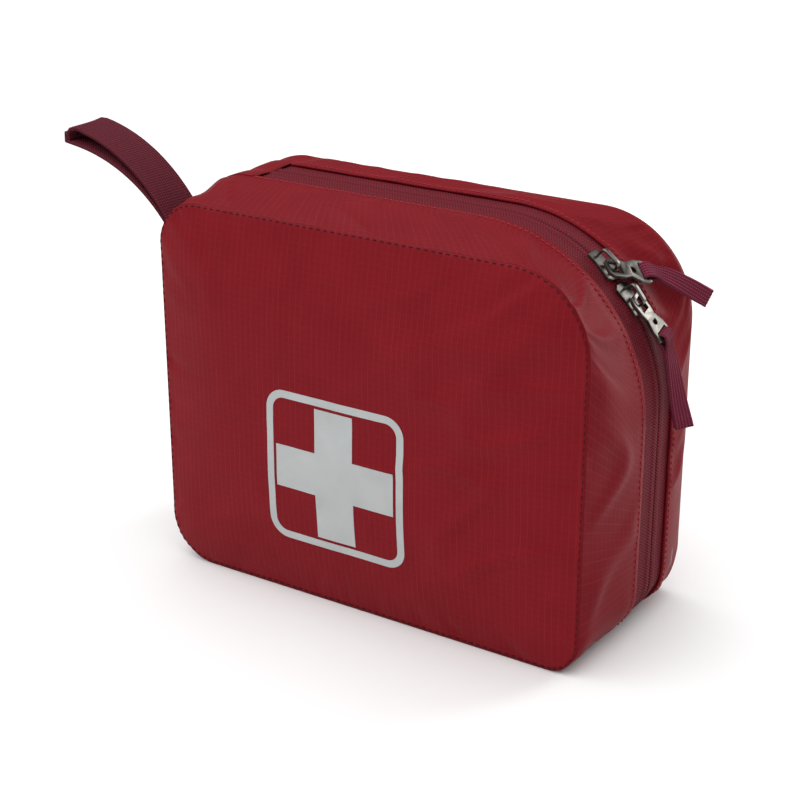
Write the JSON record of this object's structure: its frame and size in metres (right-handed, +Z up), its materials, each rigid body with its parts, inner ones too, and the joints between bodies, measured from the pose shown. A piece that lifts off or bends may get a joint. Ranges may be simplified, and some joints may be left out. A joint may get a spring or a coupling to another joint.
{
  "type": "first aid kit",
  "caption": "soft boxy travel first aid pouch that unzips like a book, with two zip sliders, a carry loop, inner pockets and supplies",
  "frame": {"origin": "on the pouch's base, in the middle of the front gusset's flat band", "axes": "+X the pouch's right seen from the front, -Y its printed front, +Z up"},
  "size_m": [0.2492, 0.0913, 0.1678],
  "materials": {
    "shell_fabric": "satin ripstop weave",
    "zip_tape": "herringbone weave",
    "zip_coil": "moulded coil",
    "webbing": "coarse plain weave",
    "binding": "bias tape",
    "print_ink": "screen print",
    "slider_metal": "dark nickel plate",
    "mesh": "knitted mesh",
    "lining": "coated nylon",
    "elastic": "ribbed elastic",
    "clear_film": "clear vinyl",
    "crepe": "crepe weave",
    "gauze": "open gauze",
    "adhesive_tape": "zinc oxide tape",
    "card_core": "rolled card",
    "card_box": "printed card",
    "glove_film": "frosted film",
    "foil": "metallised film",
    "dressing_paper": "sealed paper",
    "instrument_steel": "satin stainless"
  },
  "bodies": {
    "back_shell": {"back_panel": "shell_fabric", "back_gusset": "shell_fabric", "back_seam_binding": "binding", "back_zip_tape": "zip_tape", "back_zip_coil": "zip_coil", "spine_back": "shell_fabric", "organizer_panel": "lining", "organizer_hem": "binding", "dressing_sleeve": "clear_film", "dressing_packs": "dressing_paper", "foil_blanket_pack": "foil", "plaster_box": "card_box", "scissor_blade_back": "instrument_steel", "scissor_rivet": "instrument_steel", "tweezers": "instrument_steel", "scissor_elastic": "elastic", "tweezer_elastic": "elastic"},
    "front_shell": {"front_panel": "shell_fabric", "front_gusset": "shell_fabric", "front_seam_binding": "binding", "front_zip_tape": "zip_tape", "front_zip_coil": "zip_coil", "spine_front": "shell_fabric", "print_frame": "print_ink", "print_cross": "print_ink", "mesh_pocket": "mesh", "mesh_pocket_hem": "binding", "crepe_bandages": "crepe", "gauze_roll": "gauze", "plaster_roll": "adhesive_tape", "plaster_roll_core": "card_core", "glove_pack": "glove_film"},
    "carry_loop": {"carry_loop": "webbing"},
    "upper_slider": {"upper_slider_body": "slider_metal", "upper_slider_crown": "slider_metal"},
    "upper_tab": {"upper_pull_tab": "slider_metal"},
    "upper_webbing": {"upper_pull_webbing": "webbing"},
    "lower_slider": {"lower_slider_body": "slider_metal", "lower_slider_crown": "slider_metal"},
    "lower_tab": {"lower_pull_tab": "slider_metal"},
    "lower_webbing": {"lower_pull_webbing": "webbing"},
    "scissor_half": {"scissor_blade_front": "instrument_steel"}
  },
  "joints": [
    {"name": "book_hinge", "type": "hinge", "parent": "back_shell", "child": "front_shell", "pos_m": [-0.097, 0.0155, 0.076], "axis": [0, 0, -1], "range_deg": [0, 170], "deforming": ["carry_loop"]},
    {"name": "carry_loop_swing", "type": "hinge", "parent": "front_shell", "child": "carry_loop", "pos_m": [-0.0966, -0.0155, 0.138], "axis": [0, 1, 0], "range_deg": [-90, 45]},
    {"name": "upper_slider_run", "type": "hinge", "parent": "back_shell", "child": "upper_slider", "pos_m": [0.03, 0.0155, 0.0855], "axis": [0, 1, 0], "range_deg": [-38, 0]},
    {"name": "lower_slider_run", "type": "hinge", "parent": "back_shell", "child": "lower_slider", "pos_m": [0.03, 0.0155, 0.0855], "axis": [0, 1, 0], "range_deg": [0, 38]},
    {"name": "upper_tab_lift", "type": "hinge", "parent": "upper_slider", "child": "upper_tab", "pos_m": [0.07427, 0.01256, 0.1377], "axis": [0.6778, -0.5, -0.5391], "range_deg": [0, 22]},
    {"name": "lower_tab_lift", "type": "hinge", "parent": "lower_slider", "child": "lower_tab", "pos_m": [0.08404, 0.01479, 0.12784], "axis": [0.1295, -0.9781, -0.1627], "range_deg": [0, 95]},
    {"name": "upper_webbing_swing", "type": "hinge", "parent": "upper_tab", "child": "upper_webbing", "pos_m": [0.08178, 0.02751, 0.13327], "axis": [0.6778, -0.5, -0.5391], "range_deg": [0, 80]},
    {"name": "lower_webbing_swing", "type": "hinge", "parent": "lower_tab", "child": "lower_webbing", "pos_m": [0.09458, 0.01839, 0.1146], "axis": [0.1295, -0.9781, -0.1627], "range_deg": [0, 40]},
    {"name": "scissor_pivot", "type": "hinge", "parent": "back_shell", "child": "scissor_half", "pos_m": [0.024, 0.0334, 0.066], "axis": [0, -1, 0], "range_deg": [0, 45], "deforming": ["scissor_elastic"]}
  ],
  "couplings": [
    {"joint": "lower_webbing_swing", "follows": "lower_slider_run", "ratio": 1}
  ]
}
